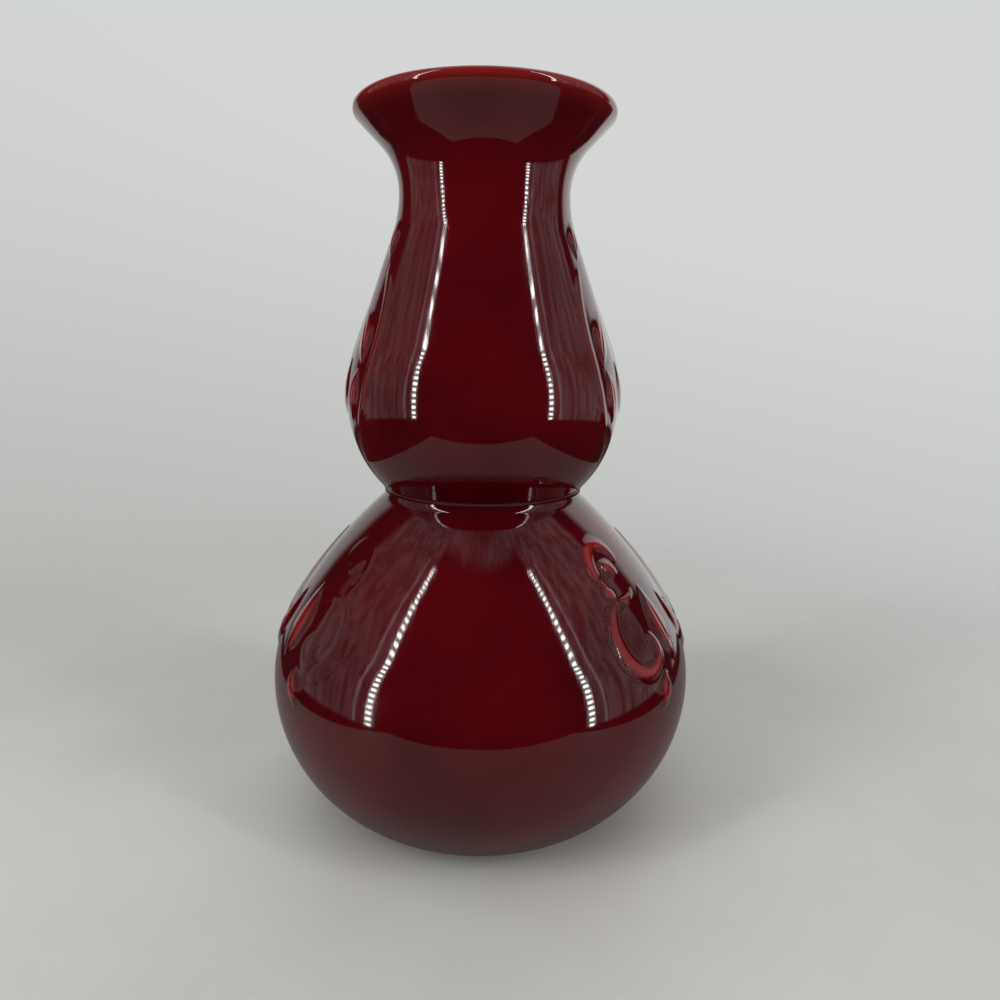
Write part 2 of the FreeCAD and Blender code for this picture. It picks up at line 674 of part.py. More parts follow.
def add_sprigs(doc, sizes, curves):
    """Two sprays and a fan of leaves on each side of each bulb. The sprays of a side mirror each other."""
    wall = Wall(sizes, curves)
    sprigs = []

    def lay(label, solids, turn):
        sprig = doc.addObject("Part::Feature", label)
        sprig.Label = label
        sprig.Shape = Part.makeCompound(solids)
        sprig.Placement = FreeCAD.Placement(FreeCAD.Vector(), FreeCAD.Rotation(UPWARD, turn))
        sprigs.append(sprig)

    lower = (sizes.belly_height, sizes.shoulder_rise, sizes.lower_relief)
    upper = (curves.bulb_up, sizes.neck_rise, sizes.upper_relief)
    for side, middle in (("right", 0), ("left", HALF_TURN)):
        outward = 1 if side == "right" else -1
        for end, hand in (("front", outward), ("back", -outward)):
            turn = middle - hand * sizes.lower_spray_turn_angle.value
            lay(f"{side}_{end}_lower_spray", lower_spray(sizes, wall, hand), turn)
            turn = middle - hand * sizes.upper_spray_turn_angle.value
            lay(f"{side}_{end}_upper_spray", upper_spray(sizes, curves, wall, hand), turn)
        lay(f"{side}_lower_leaves", leaf_fan(sizes, wall, "lower", *lower), middle)
        lay(f"{side}_upper_leaves", leaf_fan(sizes, wall, "upper", *upper), middle)
    return sprigs


def check(doc, bodies):
    for item in doc.Objects:
        if "Invalid" in item.State or "Error" in item.State:
            raise RuntimeError(f"{item.Label} failed: {item.State}")
    for body in bodies:
        if body.Shape.isNull() or not body.Shape.isValid() or not body.Shape.Solids:
            raise RuntimeError(f"{body.Label} has no sound solid")


def main():
    doc = FreeCAD.newDocument("gourd_vase")
    sizes = Book(doc, "sizes")
    for alias, number, meaning in SIZES:
        sizes.write(alias, str(number), number, meaning)
    curves = work_out_curves(doc, sizes)
    doc.recompute()
    sections = (foot_ring, vase_floor, lower_bulb, waist_seam, upper_bulb, flared_neck, lip_roll)
    bodies = [section(doc, sizes, curves) for section in sections]
    bodies += add_sprigs(doc, sizes, curves)
    doc.recompute()
    check(doc, bodies)
    os.makedirs("parts", exist_ok=True)
    for body in bodies:
        body.Shape.exportStep(f"parts/{body.Label}.step")
        print(f"{body.Label}: {body.Shape.Volume:.1f} cubic mm in {len(body.Shape.Solids)}")


main()
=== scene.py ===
import math
from collections import namedtuple

import bpy
import numpy as np
from mathutils import Matrix, Vector


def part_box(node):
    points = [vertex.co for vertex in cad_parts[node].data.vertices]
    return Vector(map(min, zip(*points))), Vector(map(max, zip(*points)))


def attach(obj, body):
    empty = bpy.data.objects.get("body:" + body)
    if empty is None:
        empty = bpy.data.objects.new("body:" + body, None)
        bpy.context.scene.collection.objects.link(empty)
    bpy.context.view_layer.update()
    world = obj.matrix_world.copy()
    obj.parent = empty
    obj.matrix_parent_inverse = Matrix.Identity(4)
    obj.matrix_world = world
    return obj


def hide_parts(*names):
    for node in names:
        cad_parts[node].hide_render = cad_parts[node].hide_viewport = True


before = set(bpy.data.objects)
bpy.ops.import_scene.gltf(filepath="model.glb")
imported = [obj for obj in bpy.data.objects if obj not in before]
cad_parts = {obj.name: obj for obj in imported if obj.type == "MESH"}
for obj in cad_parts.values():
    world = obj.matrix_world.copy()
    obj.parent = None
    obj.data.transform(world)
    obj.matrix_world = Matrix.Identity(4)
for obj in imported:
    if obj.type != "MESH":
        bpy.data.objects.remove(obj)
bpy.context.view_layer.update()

# A double-gourd vase under an oxblood glaze, on a pale floor. Lengths are in metres.
# Its walls are turned from one section, and low moulded sprigs rise from them. The skin is then
# parted into the vase's own pieces, one for each CAD node.

MM = 0.001

# Sizes that the CAD parts' boxes in model.glb don't give
WALL = 4.2 * MM
WAIST_WALL = 6.4 * MM
BELLY_HEIGHT = 41.6 * MM
FOOT_RADIUS = 41.4 * MM
FOOT_WIDTH = 5.0 * MM
FOOT_EDGE = 0.6 * MM
BULB_RISE = 26.5 * MM
NECK_RISE = 59.7 * MM
THROAT_RADIUS = 25.1 * MM

# Where the shoulder's first arc ends on the way from the belly to the waist
SHOULDER_IN_SHARE = 0.173
SHOULDER_UP_SHARE = 0.388

# Radii of the neck's and the mouth's arcs, as shares of those that would leave no straight run
NECK_CURVE_SHARE = 0.69
MOUTH_CURVE_SHARE = 0.853

# The upper bulb's share of its own and the neck's radius together
BULB_CURVE_SHARE = 0.578

# Rows and columns of the skin
COLUMNS = 480
SIDE_CROWDING = 0.45
FINE_ROW = 0.68 * MM
PLAIN_ROW = 1.25 * MM
HIDDEN_ROW = 4.0 * MM
SMALL_ROW = 0.35 * MM
EDGE_ROW = FOOT_EDGE / 3

# Points this near to each other are joined
SAME_PLACE = 0.002 * MM

# Relief of the sprigs, how much of it plain ridges rise, and how deep the backs lie in the wall
LOWER_RELIEF = 1.0 * MM
UPPER_RELIEF = 0.8 * MM
PLAIN_RIDGE_SHARE = 0.62
SPRIG_BED = 0.15 * MM

# A ridge is wider than its line says, and ends where its crest is this low
SOFTENING = 1.6
LOWEST_CREST = 0.01

# A vein's depth as a share of its ridge, and how many times narrower it is
VEIN_DEPTH = 0.4
VEIN_NARROWNESS = 4.5

# The uneven wall, and the heights between which it begins
UNEVENNESS = 0.32 * MM
UNEVEN_SCALE = 30.0
UNEVEN_START = (2.0 * MM, 12.0 * MM)

# The glaze that fills the crease, and the line above the table at which the glaze ends
CREASE_POOL = 1.8 * MM
POOL_TOP_SHARE = 0.9
GLAZE_LINE = 0.9 * MM


class Value:
    """An output socket that Python's operators join through Math nodes."""

    def __init__(self, graph, socket):
        self.graph = graph
        self.socket = socket

    def other(self, name):
        """Another output of the same node."""
        return Value(self.graph, self.socket.node.outputs[name])

    def math(self, operation, second=0.0):
        return self.graph.math(operation, self, second)

    def __add__(self, other):
        return self.math("ADD", other)

    def __sub__(self, other):
        return self.math("SUBTRACT", other)

    def __mul__(self, other):
        return self.math("MULTIPLY", other)

    def __truediv__(self, other):
        return self.math("DIVIDE", other)

    def __pow__(self, other):
        return self.math("POWER", other)

    def __lt__(self, other):
        return self.math("LESS_THAN", other)

    def __gt__(self, other):
        return self.math("GREATER_THAN", other)

    def __rsub__(self, other):
        return self.graph.math("SUBTRACT", other, self)

    def __rtruediv__(self, other):
        return self.graph.math("DIVIDE", other, self)

    __radd__ = __add__
    __rmul__ = __mul__

    def smooth(self, low, high):
        """0 below low and 1 above high, with a smooth way between."""
        inputs = {"Value": self, "From Min": low, "From Max": high}
        return self.graph.add("ShaderNodeMapRange", {"interpolation_type": "SMOOTHSTEP"}, inputs)


class Graph:
    """A node tree that is filled through one method."""

    def __init__(self, tree):
        self.tree = tree
        self.tree.nodes.clear()

    def add(self, kind, settings=None, inputs=None, output=0):
        """A node, with its settings, and with values or links in its sockets."""
        node = self.tree.nodes.new(kind)
        for name, setting in (settings or {}).items():
            setattr(node, name, setting)
        for name, given in (inputs or {}).items():
            if isinstance(given, Value):
                self.tree.links.new(given.socket, node.inputs[name])
            else:
                node.inputs[name].default_value = given
        return Value(self, node.outputs[output]) if node.outputs else None

    def math(self, operation, first, second):
        return self.add("ShaderNodeMath", {"operation": operation}, {0: first, 1: second})

    def mix(self, factor, first, second):
        """A colour between two others."""
        return self.add("ShaderNodeMix", {"data_type": "RGBA"}, {0: factor, 6: first, 7: second}, 2)

    def xyz(self, vector):
        parts = self.add("ShaderNodeSeparateXYZ", {}, {0: vector})
        return parts, parts.other("Y"), parts.other("Z")

    def vector(self, x, y, z):
        return self.add("ShaderNodeCombineXYZ", {}, {0: x, 1: y, 2: z})

    def noise(self, spot, scale, detail, roughness=0.5):
        inputs = {"Vector": spot, "Scale": scale, "Detail": detail, "Roughness": roughness}
        return self.add("ShaderNodeTexNoise", {}, inputs)

    def specks(self, spot, scale, limits):
        """Small round spots, one in each cell, that fade between two distances from their middles."""
        cells = self.add("ShaderNodeTexVoronoi", {}, {"Vector": spot, "Scale": scale}, "Distance")
        return 1 - cells.smooth(*limits)

    def bump(self, height, strength, depth):
        inputs = {"Height": height, "Strength": strength, "Distance": depth}
        return self.add("ShaderNodeBump", {}, inputs)


# The section of the wall


def point(across, up):
    return Vector((across, up))


def arc_radius(inset, rise):
    """Radius of the arc that leaves a widest ring upright and ends inset and risen from it."""
    return (inset**2 + rise**2) / (2 * inset)


def flatter_arc(start, end, normal):
    """Radius of the arc that leaves a point square to its normal and ends at another point."""
    way = end - start
    return way.length_squared / (-2 * normal.dot(way))


def leaning(across, up, reach):
    """The unit vector on the right of a way across and up, on which that way measures reach."""
    square = across**2 + up**2
    aside = math.sqrt(square - reach**2)
    return point((reach * across + aside * up) / square, (reach * up - aside * across) / square)


class Section:
    """A section as a row of points. Its named places part the vase's pieces."""

    def __init__(self, start):
        self.points = [start]
        self.rows = {"start": 0}

    def name(self, name):
        self.rows[name] = len(self.points) - 1

    def line(self, end, step):
        start = self.points[-1]
        count = max(math.ceil((end - start).length / step), 1)
        self.points += [start.lerp(end, number / count) for number in range(1, count + 1)]

    def arc(self, end, radius, left, step):
        """An arc of less than a half turn. With left, its centre lies left of the way along it."""
        start = self.points[-1]
        chord = end - start
        aside = point(-chord.y, chord.x).normalized()
        depth = math.sqrt(max(radius**2 - chord.length_squared / 4, 0.0))
        centre = (start + end) / 2 + aside * (depth if left else -depth)
        spoke = start - centre
        turn = 2 * math.asin(min(chord.length / (2 * radius), 1.0)) * (1 if left else -1)
        count = max(math.ceil(abs(turn) * radius / step), 2)
        for number in range(1, count):
            cosine = math.cos(turn * number / count)
            sine = math.sin(turn * number / count)
            across = spoke.x * cosine - spoke.y * sine
            up = spoke.x * sine + spoke.y * cosine
            self.points.append(centre + point(across, up))
        self.points.append(end)

    def pool(self, corner, end, step):
        """A hollow curve that fills a corner."""
        start = self.points[-1]
        count = max(math.ceil((end - start).length / step), 4)
        for number in range(1, count + 1):
            share = number / count
            near = start.lerp(corner, share)
            far = corner.lerp(end, share)
            self.points.append(near.lerp(far, share))


class WallSection(Section):
    """Underside, foot, outer wall, lip, inner wall and floor, in one way round."""

    def __init__(self):
        lower_low, lower_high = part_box("lower_bulb")
        upper_low, upper_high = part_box("upper_bulb")
        self.foot_height = lower_low.z
        self.belly_radius = lower_high.x
        self.waist_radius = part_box("waist_seam")[1].x
        self.waist_up = lower_high.z
        self.seam_top = upper_low.z
        self.bulb_radius = upper_high.x
        self.bulb_up = self.seam_top + BULB_RISE
        self.throat_up = self.bulb_up + NECK_RISE
        super().__init__(point(0, self.foot_height))
        self.draw_foot()
        self.draw_lower_bulb()
        self.draw_crease()
        self.draw_upper_bulb()
        self.draw_mouth()
        self.draw_inner_wall()

    def radius_under(self, up):
        """Radius of the outer wall at a height below the belly."""
        drop = BELLY_HEIGHT - up
        return self.belly_radius - self.under_radius + math.sqrt(self.under_radius**2 - drop**2)

    def draw_foot(self):
        self.under_radius = arc_radius(self.belly_radius - FOOT_RADIUS, BELLY_HEIGHT)
        foot_inside = FOOT_RADIUS - FOOT_WIDTH
        self.line(point(foot_inside, self.foot_height), HIDDEN_ROW)
        self.name("foot_inside")
        self.line(point(foot_inside, FOOT_EDGE), PLAIN_ROW)
        self.arc(point(foot_inside + FOOT_EDGE, 0), FOOT_EDGE, True, EDGE_ROW)
        self.line(point(FOOT_RADIUS - FOOT_EDGE, 0), PLAIN_ROW)
        edge_end = self.radius_under(FOOT_EDGE)
        edge_radius = arc_radius(FOOT_EDGE, edge_end - (FOOT_RADIUS - FOOT_EDGE))
        self.arc(point(edge_end, FOOT_EDGE), edge_radius, True, EDGE_ROW)
        foot_end = point(self.radius_under(self.foot_height), self.foot_height)
        self.arc(foot_end, self.under_radius, True, SMALL_ROW)
        self.name("foot_outside")

    def draw_lower_bulb(self):
        self.arc(point(self.belly_radius, BELLY_HEIGHT), self.under_radius, True, PLAIN_ROW)
        inset = (self.belly_radius - self.waist_radius) * SHOULDER_IN_SHARE
        rise = (self.waist_up - BELLY_HEIGHT) * SHOULDER_UP_SHARE
        self.shoulder = point(self.belly_radius - inset, BELLY_HEIGHT + rise)
        self.shoulder_radius = arc_radius(inset, rise)
        self.shoulder_normal = point(1 - inset / self.shoulder_radius, rise / self.shoulder_radius)
        self.arc(self.shoulder, self.shoulder_radius, True, FINE_ROW)
        waist = point(self.waist_radius, self.waist_up)
        self.arc(waist, flatter_arc(self.shoulder, waist, self.shoulder_normal), True, FINE_ROW)

    def draw_crease(self):
        """The crease, whose corner is filled with glaze."""
        waist = point(self.waist_radius, self.waist_up)
        seam = point(self.waist_radius, self.seam_top)
        while (self.points[-1] - waist).length < CREASE_POOL:
            self.points.pop()
        self.name("waist")
        self.cup_radius = arc_radius(self.bulb_radius - self.waist_radius, BULB_RISE)
        cup_centre = point(self.bulb_radius - self.cup_radius, self.bulb_up)
        pool_top = self.seam_top + CREASE_POOL * POOL_TOP_SHARE
        across = cup_centre.x + math.sqrt(self.cup_radius**2 - (self.bulb_up - pool_top) ** 2)
        self.pool((waist + seam) / 2, point(across, pool_top), SMALL_ROW)
        self.name("seam")

    def draw_upper_bulb(self):
        """The bulb, a straight run and the hollow curve of the neck."""
        self.arc(point(self.bulb_radius, self.bulb_up), self.cup_radius, True, FINE_ROW)
        narrowing = self.bulb_radius - THROAT_RADIUS
        curves = arc_radius(narrowing, NECK_RISE) * NECK_CURVE_SHARE
        self.dome_radius = curves * BULB_CURVE_SHARE
        self.neck_radius = curves - self.dome_radius
        self.neck_normal = leaning(curves - narrowing, NECK_RISE, curves)
        self.throat = point(THROAT_RADIUS, self.throat_up)
        dome_centre = point(self.bulb_radius - self.dome_radius, self.bulb_up)
        neck_centre = point(THROAT_RADIUS + self.neck_radius, self.throat_up)
        self.dome_end = dome_centre + self.neck_normal * self.dome_radius
        self.neck_start = neck_centre - self.neck_normal * self.neck_radius
        self.arc(self.dome_end, self.dome_radius, True, FINE_ROW)
        self.name("bulb_end")
        self.line(self.neck_start, FINE_ROW)
        self.arc(self.throat, self.neck_radius, False, FINE_ROW)

    def draw_mouth(self):
        """The flare's outside, the round lip and the flare's inside."""
        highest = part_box("lip_roll")[1]
        half_wall = WALL / 2
        lip = point(highest.x - half_wall, highest.z - half_wall)
        flare = lip.x - (THROAT_RADIUS - half_wall)
        climb = lip.y - self.throat_up
        middle = arc_radius(flare, climb) * MOUTH_CURVE_SHARE
        outward = leaning(flare - middle, climb, -middle)
        hollow = middle - half_wall
        hub = point(THROAT_RADIUS + hollow, self.throat_up)
        self.arc(hub - outward * hollow, hollow, False, PLAIN_ROW)
        self.line(lip + outward * half_wall, PLAIN_ROW)
        self.name("lip")
        onward = point(-outward.y, outward.x)
        self.arc(lip + onward * half_wall, half_wall, True, SMALL_ROW)
        self.arc(lip - outward * half_wall, half_wall, True, SMALL_ROW)
        self.name("lip_inside")
        self.line(hub - outward * (hollow + WALL), PLAIN_ROW)
        self.arc(self.throat - point(WALL, 0), hollow + WALL, True, PLAIN_ROW)

    def draw_inner_wall(self):
        """The inside from the throat down to the floor's middle."""
        self.arc(self.neck_start - self.neck_normal * WALL, self.neck_radius + WALL, True, HIDDEN_ROW)
        self.line(self.dome_end - self.neck_normal * WALL, HIDDEN_ROW)
        self.name("bulb_end_inside")
        bulb_inside = self.bulb_radius - WALL
        waist_inside = self.waist_radius - WAIST_WALL
        self.arc(point(bulb_inside, self.bulb_up), self.dome_radius - WALL, False, HIDDEN_ROW)
        cup_radius = arc_radius(bulb_inside - waist_inside, BULB_RISE)
        self.arc(point(waist_inside, self.seam_top), cup_radius, False, HIDDEN_ROW)
        self.name("seam_inside")
        waist_corner = point(waist_inside, self.waist_up)
        self.line(waist_corner, HIDDEN_ROW)
        self.name("waist_inside")
        shoulder = self.shoulder - self.shoulder_normal * WALL
        slope_radius = flatter_arc(shoulder, waist_corner, self.shoulder_normal)
        self.arc(shoulder, slope_radius, False, HIDDEN_ROW)
        belly_inside = self.belly_radius - WALL
        floor_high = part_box("vase_floor")[1]
        under_radius = arc_radius(belly_inside - floor_high.x, BELLY_HEIGHT - floor_high.z)
        self.arc(point(belly_inside, BELLY_HEIGHT), self.shoulder_radius - WALL, False, HIDDEN_ROW)
        self.arc(point(floor_high.x, floor_high.z), under_radius, False, HIDDEN_ROW)
        self.name("floor_rim")
        self.line(point(0, floor_high.z), HIDDEN_ROW)
        self.name("end")


# The sprigs, as lines on the wall that ridges rise over

# Degrees between the middle of a side and the sprays before and behind it
LOWER_TURN = 43.0
UPPER_TURN = 33.0

# Shares of the relief that the fainter ridges have
FAINT_SHARE = 0.3
SWELL_SHARE = 0.35
STEM_SHARE = 0.7

# Width and rise of a ridge at its ends, as shares of those at its middle
LEAF_TIP_SHARES = (0.12, 0.35)
SCROLL_TIP_SHARES = (0.35, 0.4)

# Steps along a leaf and along each arc of a scroll
LEAF_STEPS = 70
SCROLL_STEPS = 60

# A sprig's number, its place in degrees round the axis, and 1 or -1 for the way it faces
Seat = namedtuple("Seat", "sprig turn hand")


def ridge_size(width, tip_shares, swell):
    """Half the width of a ridge, and its rise, where swell goes from 0 at its ends to 1."""
    width_share, rise_share = (share + (1 - share) * swell for share in tip_shares)
    return width / 2 * width_share, rise_share


def leaf(across, up, length, width, tilt, bow=0.0):
    """Stations of a pointed leaf, in millimetres and degrees. It bows by a share of its length."""
    tilt = math.radians(tilt)
    stations = []
    for number in range(LEAF_STEPS + 1):
        share = number / LEAF_STEPS
        along = length * (share - 0.5)
        swell = 4 * share * (1 - share)
        aside = length * bow * (swell - 0.5)
        place_across = across + along * math.cos(tilt) - aside * math.sin(tilt)
        place_up = up + along * math.sin(tilt) + aside * math.cos(tilt)
        stations.append((place_across, place_up, *ridge_size(width, LEAF_TIP_SHARES, swell)))
    return stations


def scroll(across, up, width, start, bends):
    """Stations of tangent arcs, from a start angle round a centre. A bend is a radius and a turn."""
    angle = math.radians(start)
    stations = []
    total = sum(radius * abs(math.radians(sweep)) for radius, sweep in bends)
    done = 0.0
    former = bends[0][0]
    for radius, sweep in bends:
        sweep = math.radians(sweep)
        across += (former - radius) * math.cos(angle)
        up += (former - radius) * math.sin(angle)
        for number in range(SCROLL_STEPS + 1):
            part = number / SCROLL_STEPS
            turn = angle + sweep * part
            share = (done + radius * abs(sweep) * part) / total
            swell = math.sqrt(max(4 * share * (1 - share), 0.0))
            place = (across + radius * math.cos(turn), up + radius * math.sin(turn))
            stations.append((*place, *ridge_size(width, SCROLL_TIP_SHARES, swell)))
        done += radius * abs(sweep)
        angle += sweep
        former = radius
    return stations


def linked(thing):
    bpy.context.scene.collection.objects.link(thing)
    return thing


class RidgeLines:
    """Lines of one kind, laid on the outer wall of a section."""

    def __init__(self, section):
        outer = section.points[section.rows["foot_outside"]:section.rows["lip"]]
        self.heights = [place.y for place in outer]
        self.radii = [place.x for place in outer]
        self.points = []
        self.half_widths = []
        self.rises = []
        self.sprigs = []

    def lay(self, seat, stations, relief_share=1.0):
        """A station is a way across and up in millimetres, half a width and a share of the relief."""
        for across, up, half_width, rise in stations:
            height = up * MM
            radius = np.interp(height, self.heights, self.radii)
            angle = math.radians(seat.turn) + seat.hand * across * MM / radius
            self.points.append((radius * math.cos(angle), radius * math.sin(angle), height))
            self.half_widths.append(half_width * MM * SOFTENING)
            self.rises.append(rise * relief_share)
            self.sprigs.append(seat.sprig)

    def as_object(self, name):
        mesh = bpy.data.meshes.new(name)
        mesh.from_pydata(self.points, [], [])
        mesh.attributes.new("half_width", "FLOAT", "POINT").data.foreach_set("value", self.half_widths)
        mesh.attributes.new("rise", "FLOAT", "POINT").data.foreach_set("value", self.rises)
        mesh.attributes.new("sprig", "INT", "POINT").data.foreach_set("value", self.sprigs)
        return linked(bpy.data.objects.new(name, mesh))


class Sprigs:
    """The names of all sprigs, and their ridges: plain ones, and leaves with a vein."""

    def __init__(self, section):
        self.names = []
        self.plain = RidgeLines(section)
        self.veined = RidgeLines(section)
        for side, middle, outward in (("right", 0.0, 1), ("left", 180.0, -1)):
            for place, hand in (("front", outward), ("back", -outward)):
                self.lower_spray(f"{side}_{place}_lower_spray", middle - hand * LOWER_TURN, hand)
                self.upper_spray(f"{side}_{place}_upper_spray", middle - hand * UPPER_TURN, hand)
            self.lower_leaves(f"{side}_lower_leaves", middle)
            self.upper_leaves(f"{side}_upper_leaves", middle)

    def begin(self, name, turn, hand=1):
        self.names.append(name)
        return Seat(len(self.names), turn, hand)

    def lower_spray(self, name, turn, hand):
        """A curl over a large scroll, with leaflets between them and a long leaf beside them."""
        seat = self.begin(name, turn, hand)
        # The glaze lies thick over the scrolls at the left front
        share = FAINT_SHARE if name == "left_front_lower_spray" else 1.0
        curl = scroll(across=2.4, up=82.5, width=3.9, start=12.0, bends=[(6.2, 206.0)])
        hook = scroll(across=1.8, up=66.0, width=4.2, start=112.0, bends=[(9.2, 188.0), (3.8, 150.0)])
        stalk = leaf(across=-2.1, up=76.7, length=8.0, width=3.2, tilt=-72.0)
        tie = leaf(across=3.4, up=75.2, length=11.0, width=1.6, tilt=4.0, bow=-0.12)
        swell = leaf(across=3.4, up=67.0, length=13.0, width=7.0, tilt=96.0)
        bud = leaf(across=2.9, up=82.6, length=6.5, width=3.8, tilt=150.0)
        for ridge in (curl, hook, stalk, tie):
            self.plain.lay(seat, ridge, share)
        self.plain.lay(seat, swell, SWELL_SHARE * share)
        self.veined.lay(seat, bud, share)
        self.veined.lay(seat, leaf(across=15.0, up=65.6, length=20.0, width=7.4, tilt=104.0, bow=0.06))
        self.veined.lay(seat, leaf(across=7.2, up=50.3, length=10.0, width=5.6, tilt=70.0))

    def upper_spray(self, name, turn, hand):
        """A long bowed stem with three leaves."""
        seat = self.begin(name, turn, hand)
        stem = scroll(across=37.0, up=143.0, width=3.3, start=149.0, bends=[(42.0, 62.0)])
        self.plain.lay(seat, stem, STEM_SHARE)
        self.veined.lay(seat, leaf(across=3.6, up=146.2, length=15.5, width=6.2, tilt=66.0, bow=0.06))
        self.veined.lay(seat, leaf(across=4.6, up=129.7, length=14.0, width=6.2, tilt=106.0, bow=-0.06))
        self.veined.lay(seat, leaf(across=3.4, up=172.7, length=10.0, width=4.8, tilt=78.0))

    def lower_leaves(self, name, turn):
        tall = leaf(across=0.0, up=68.6, length=37.0, width=10.4, tilt=90.0)
        short = leaf(across=11.5, up=60.7, length=23.0, width=7.8, tilt=64.0, bow=-0.08)
        self.lay_fan(self.begin(name, turn), tall, short)

    def upper_leaves(self, name, turn):
        tall = leaf(across=0.0, up=140.7, length=35.0, width=8.4, tilt=90.0)
        short = leaf(across=7.8, up=130.7, length=18.0, width=5.8, tilt=68.0, bow=-0.08)
        self.lay_fan(self.begin(name, turn), tall, short)

    def lay_fan(self, seat, tall, short):
        """A tall leaf between two short ones."""
        self.veined.lay(seat, tall)
        self.veined.lay(seat, short)
        self.veined.lay(seat._replace(hand=-1), short)


# Geometry trees


class GeometryTree(Graph):
    """A geometry tree with named inputs. Its modifier's inputs are set by the names."""

    def __init__(self, name, kinds):
        super().__init__(bpy.data.node_groups.new(name, "GeometryNodeTree"))
        face = self.tree.interface
        face.new_socket("Geometry", in_out="OUTPUT", socket_type="NodeSocketGeometry")
        face.new_socket("Geometry", in_out="INPUT", socket_type="NodeSocketGeometry")
        for size, kind in kinds.items():
            face.new_socket(size, in_out="INPUT", socket_type=kind)
        self.given = self.add("NodeGroupInput")

    def take(self, name):
        return self.given.other(name)

    def place(self):
        return self.add("GeometryNodeInputPosition")

    def named(self, name, kind="FLOAT"):
        """An attribute of the skin or of the lines."""
        return self.add("GeometryNodeInputNamedAttribute", {"data_type": kind}, {"Name": name})

    def points_of(self, name):
        """The geometry of the object that an input names."""
        return self.add("GeometryNodeObjectInfo", {}, {"Object": self.take(name)}, "Geometry")

    def sampled(self, geometry, value, kind, index):
        settings = {"data_type": kind, "domain": "POINT"}
        inputs = {0: geometry, "Value": value, "Index": index}
        return self.add("GeometryNodeSampleIndex", settings, inputs)

    def store(self, geometry, name, kind, value):
        settings = {"data_type": kind, "domain": "POINT"}
        inputs = {0: geometry, "Name": name, "Value": value}
        return self.add("GeometryNodeStoreNamedAttribute", settings, inputs)

    def scaled(self, vector, scale):
        return self.add("ShaderNodeVectorMath", {"operation": "SCALE"}, {0: vector, "Scale": scale})

    def finish(self, geometry):
        self.add("NodeGroupOutput", {}, {"Geometry": geometry})

    def put_on(self, thing, values):
        modifier = thing.modifiers.new(self.tree.name, "NODES")
        modifier.node_group = self.tree
        for item in self.tree.interface.items_tree:
            if item.in_out == "INPUT" and item.name in values:
                modifier[item.identifier] = values[item.name]


def turned_wall_tree():
    """Turns a section about the axis. The columns crowd together on the left and right sides."""
    kinds = {"Section": "NodeSocketObject", "Columns": "NodeSocketInt", "Crowding": "NodeSocketFloat"}
    tree = GeometryTree("turned_wall", kinds)
    section = tree.points_of("Section")
    settings = {"component": "MESH"}
    rows = tree.add("GeometryNodeAttributeDomainSize", settings, {0: section}, "Point Count")
    sides = {"Size X": 1.0, "Size Y": 1.0, "Vertices X": tree.take("Columns") + 1, "Vertices Y": rows}
    grid = tree.add("GeometryNodeMeshGrid", {}, sides, "Mesh")
    position = tree.place()
    across, along, _ = tree.xyz(position)
    row = ((along + 0.5) * (rows - 1)).math("ROUND")
    radius, _, height = tree.xyz(tree.sampled(section, position, "FLOAT_VECTOR", row))
    turn = (across + 0.5) * (2 * math.pi)
    angle = turn - tree.take("Crowding") * (turn * 2).math("SINE") / 2
    moved = tree.vector(radius * angle.math("COSINE"), radius * angle.math("SINE"), height)
    kept = tree.store(grid, "row", "INT", row)
    turned = tree.add("GeometryNodeSetPosition", {}, {0: kept, "Position": moved})
    joined = tree.add("GeometryNodeMergeByDistance", {}, {0: turned, "Distance": SAME_PLACE})
    tree.finish(tree.add("GeometryNodeSetShadeSmooth", {}, {0: joined}))
    return tree


def raised_lines_tree():
    """Raises soft ridges over lines. A vein is a groove along a ridge, as a share of its height.

    The crest is the ridge's own share of the relief, by which the glaze is thinned.
    """
    kinds = {
        "Lines": "NodeSocketObject",
        "Lower Relief": "NodeSocketFloat",
        "Upper Relief": "NodeSocketFloat",
        "Waist": "NodeSocketFloat",
        "Vein": "NodeSocketFloat",
        "Last Row": "NodeSocketInt",
    }
    tree = GeometryTree("raised_lines", kinds)
    lines = tree.points_of("Lines")
    position = tree.place()
    nearest = tree.add("GeometryNodeSampleNearest", {"domain": "POINT"}, {0: lines})
    line_place = tree.sampled(lines, position, "FLOAT_VECTOR", nearest)
    half_width = tree.sampled(lines, tree.named("half_width"), "FLOAT", nearest)
    rise = tree.sampled(lines, tree.named("rise"), "FLOAT", nearest)
    line_sprig = tree.sampled(lines, tree.named("sprig", "INT"), "INT", nearest)
    settings = {"operation": "DISTANCE"}
    distance = tree.add("ShaderNodeVectorMath", settings, {0: position, 1: line_place}, "Value")
    away = distance / half_width
    dome = (1 - (away * away).math("MINIMUM", 1.0)) ** 2.0
    groove = 1 - tree.take("Vein") * (1 - (away * VEIN_NARROWNESS).math("MINIMUM", 1.0)) ** 2.0
    outer = tree.named("row", "INT") < tree.take("Last Row")
    crest = (dome * groove * rise * outer - LOWEST_CREST).math("MAXIMUM", 0.0)
    upper = tree.xyz(position)[2] > tree.take("Waist")
    relief = tree.take("Lower Relief") * (1 - upper) + tree.take("Upper Relief") * upper
    higher = crest > tree.named("crest")
    sprig = line_sprig * higher + tree.named("sprig", "INT") * (1 - higher)
    raised = (crest * relief).math("MAXIMUM", tree.named("raised"))
    kept = tree.store(tree.given, "sprig", "INT", sprig)
    kept = tree.store(kept, "raised", "FLOAT", raised)
    tree.finish(tree.store(kept, "crest", "FLOAT", crest.math("MAXIMUM", tree.named("crest"))))
    return tree


